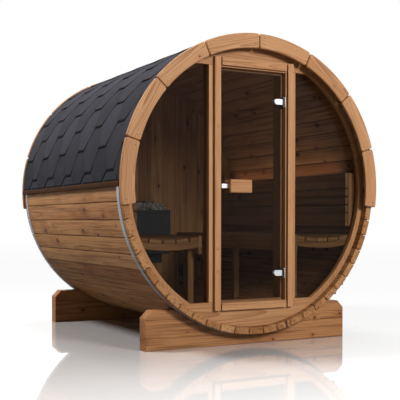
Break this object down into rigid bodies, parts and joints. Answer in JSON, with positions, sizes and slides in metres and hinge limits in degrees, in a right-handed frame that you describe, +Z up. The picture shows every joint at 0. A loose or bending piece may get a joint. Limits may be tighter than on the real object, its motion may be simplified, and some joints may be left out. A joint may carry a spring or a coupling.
{
  "type": "barrel sauna",
  "caption": "Horizontal wooden barrel sauna on two cradles, with a shingled upper half, steel bands, a glazed front wall with a hinged glass door, facing benches and a heater.",
  "frame": {"origin": "on the ground below the middle of the barrel: centre of the cradles' undersides", "axes": "+Z up; the barrel lies along Y with its glazed front facing -Y; +X is to the right as seen from the front"},
  "size_m": [2.07, 2.06, 2.118],
  "materials": {
    "stave_wood": "oiled thermo-treated softwood boards with knots",
    "trim_wood": "oiled softwood, lightly sanded",
    "shingle": "mineral-surfaced bitumen shingles",
    "dark_wood": "dark stained softwood",
    "band_steel": "galvanised steel strip",
    "black_steel": "black coated steel",
    "cradle_wood": "oiled softwood",
    "wall_wood": "oiled softwood",
    "frame_wood": "oiled softwood",
    "tinted_glass": "bronze-grey tinted toughened glass",
    "satin_metal": "satin metal",
    "handle_wood": "smooth oiled wood",
    "bench_wood": "smooth oiled wood",
    "inner_wood": "oiled softwood boards",
    "vent_plastic": "black louvred disc",
    "heater_steel": "black powder-coated steel",
    "stone": "grey heater stones"
  },
  "bodies": {
    "barrel": {"floor_staves": "stave_wood", "lower_staves_left": "stave_wood", "lower_staves_right": "stave_wood", "side_staves_left": "stave_wood", "side_staves_right": "stave_wood", "upper_staves_left": "stave_wood", "upper_staves_right": "stave_wood", "roof_staves": "stave_wood", "trim_front": "trim_wood", "trim_rear": "trim_wood", "roof_shingles_left": "shingle", "roof_shingles_right": "shingle", "eave_left": "dark_wood", "eave_right": "dark_wood", "band_front": "band_steel", "band_rear": "band_steel", "band_tensioners": "black_steel", "cradle_front": "cradle_wood", "cradle_rear": "cradle_wood", "head_panel": "wall_wood", "sill_panel": "wall_wood", "rim_left": "wall_wood", "rim_right": "wall_wood", "post_left": "wall_wood", "post_right": "wall_wood", "window_left": "tinted_glass", "window_right": "tinted_glass", "door_jamb_left": "frame_wood", "door_jamb_right": "frame_wood", "door_head": "frame_wood", "door_sill": "frame_wood", "door_stops": "frame_wood", "hinge_plates": "satin_metal", "rear_wall": "inner_wood", "vent": "vent_plastic", "bench_slats_left": "bench_wood", "bench_slats_right": "bench_wood", "bench_frame_left": "bench_wood", "bench_frame_right": "bench_wood", "backrest_boards_left": "bench_wood", "backrest_boards_right": "bench_wood", "backrest_supports_left": "bench_wood", "backrest_supports_right": "bench_wood", "heater": "heater_steel", "heater_stones": "stone"},
    "door": {"door_glass": "tinted_glass", "door_hinges": "satin_metal", "door_handle": "handle_wood", "handle_bracket": "satin_metal"}
  },
  "joints": [
    {"name": "door_hinge", "type": "hinge", "parent": "barrel", "child": "door", "pos_m": [0.248, -0.9457, 1.0825], "axis": [0, 0, 1], "range_deg": [0, 90]}
  ]
}
